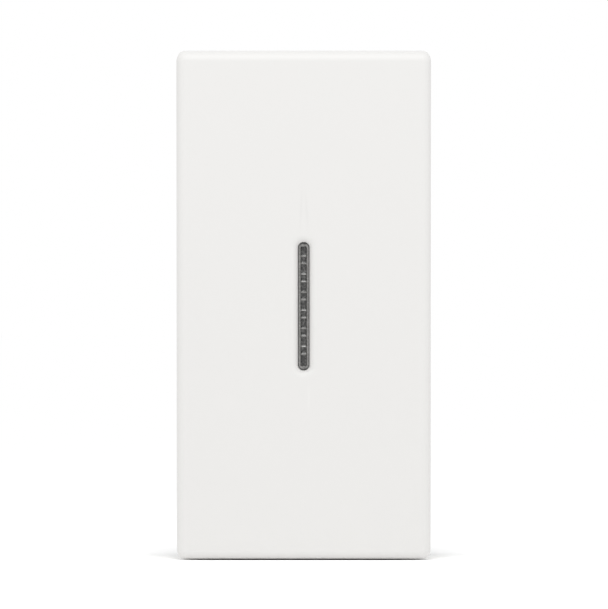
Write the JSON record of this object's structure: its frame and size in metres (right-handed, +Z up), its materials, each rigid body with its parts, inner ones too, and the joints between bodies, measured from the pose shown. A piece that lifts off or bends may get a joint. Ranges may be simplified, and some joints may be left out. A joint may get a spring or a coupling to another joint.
{
  "type": "light switch",
  "caption": "One-module rocker light switch with an indicator lens, snap-in flange and push-in rear terminals, changing over one contact.",
  "frame": {"origin": "middle of the flange's rear face, where the module seats on its wall frame", "axes": "+Z up along the rocker's length, +Y backwards into the wall, +X to the right seen from the front"},
  "size_m": [0.0224, 0.0319, 0.0449],
  "materials": {
    "white_polycarbonate_rocker": "moulded, fine matt",
    "white_polycarbonate_frame": "moulded, fine matt",
    "smoked_polycarbonate": "polished, see-through",
    "grey_polyamide": "moulded, matt",
    "button_polyamide": "moulded, matt",
    "acetal": "moulded, smooth",
    "spring_steel": "drawn or rolled, bright",
    "brass": "stamped strip",
    "silver_alloy": "headed rivet, bright",
    "tinned_brass": "tinned strip",
    "glass_epoxy_board": "laminate",
    "lamp_epoxy": "cast epoxy",
    "resistor_lacquer": "lacquered ceramic",
    "diode_epoxy": "moulded epoxy"
  },
  "bodies": {
    "switch_body": {"module_frame": "white_polycarbonate_frame", "base_housing": "grey_polyamide", "fixed_contact_tips": "silver_alloy", "common_busbar": "brass", "upper_busbar": "brass", "lower_busbar": "brass", "terminal_spring_upper": "spring_steel", "terminal_spring_common": "spring_steel", "terminal_spring_lower": "spring_steel", "lamp_board": "glass_epoxy_board", "indicator_led": "lamp_epoxy", "lamp_resistor": "resistor_lacquer", "lamp_diode": "diode_epoxy", "lamp_pin_upper": "tinned_brass", "lamp_pin_lower": "tinned_brass"},
    "rocker_body": {"rocker": "white_polycarbonate_rocker", "indicator_lens": "smoked_polycarbonate", "plunger_spring": "spring_steel"},
    "plunger_body": {"plunger": "acetal"},
    "contact_body": {"contact_rocker": "brass", "moving_contact_tips": "silver_alloy"},
    "release_upper_body": {"release_button_upper": "button_polyamide"},
    "release_common_body": {"release_button_common": "button_polyamide"},
    "release_lower_body": {"release_button_lower": "button_polyamide"}
  },
  "joints": [
    {"name": "rocker_tilt", "type": "hinge", "parent": "switch_body", "child": "rocker_body", "pos_m": [0, -0.00416, 0], "axis": [1, 0, 0], "range_deg": [-8, 0]},
    {"name": "contact_flip", "type": "hinge", "parent": "switch_body", "child": "contact_body", "pos_m": [0.00391, 0.005, 0], "axis": [1, 0, 0], "range_deg": [0, 12]},
    {"name": "plunger_slide", "type": "slide", "parent": "rocker_body", "child": "plunger_body", "axis": [0, -0.9976, -0.0698], "range_m": [0, 0.001], "stiffness_N_per_m": 400, "springref_m": -0.002, "deforming": ["plunger_spring"]},
    {"name": "release_upper", "type": "slide", "parent": "switch_body", "child": "release_upper_body", "axis": [0, -1, 0], "range_m": [0, 0.0015], "stiffness_N_per_m": 800, "springref_m": -0.0005, "deforming": ["terminal_spring_upper"]},
    {"name": "release_common", "type": "slide", "parent": "switch_body", "child": "release_common_body", "axis": [0, -1, 0], "range_m": [0, 0.0015], "stiffness_N_per_m": 800, "springref_m": -0.0005, "deforming": ["terminal_spring_common"]},
    {"name": "release_lower", "type": "slide", "parent": "switch_body", "child": "release_lower_body", "axis": [0, -1, 0], "range_m": [0, 0.0015], "stiffness_N_per_m": 800, "springref_m": -0.0005, "deforming": ["terminal_spring_lower"]}
  ],
  "couplings": [
    {"joint": "contact_flip", "follows": "rocker_tilt", "ratio": -1.5}
  ]
}
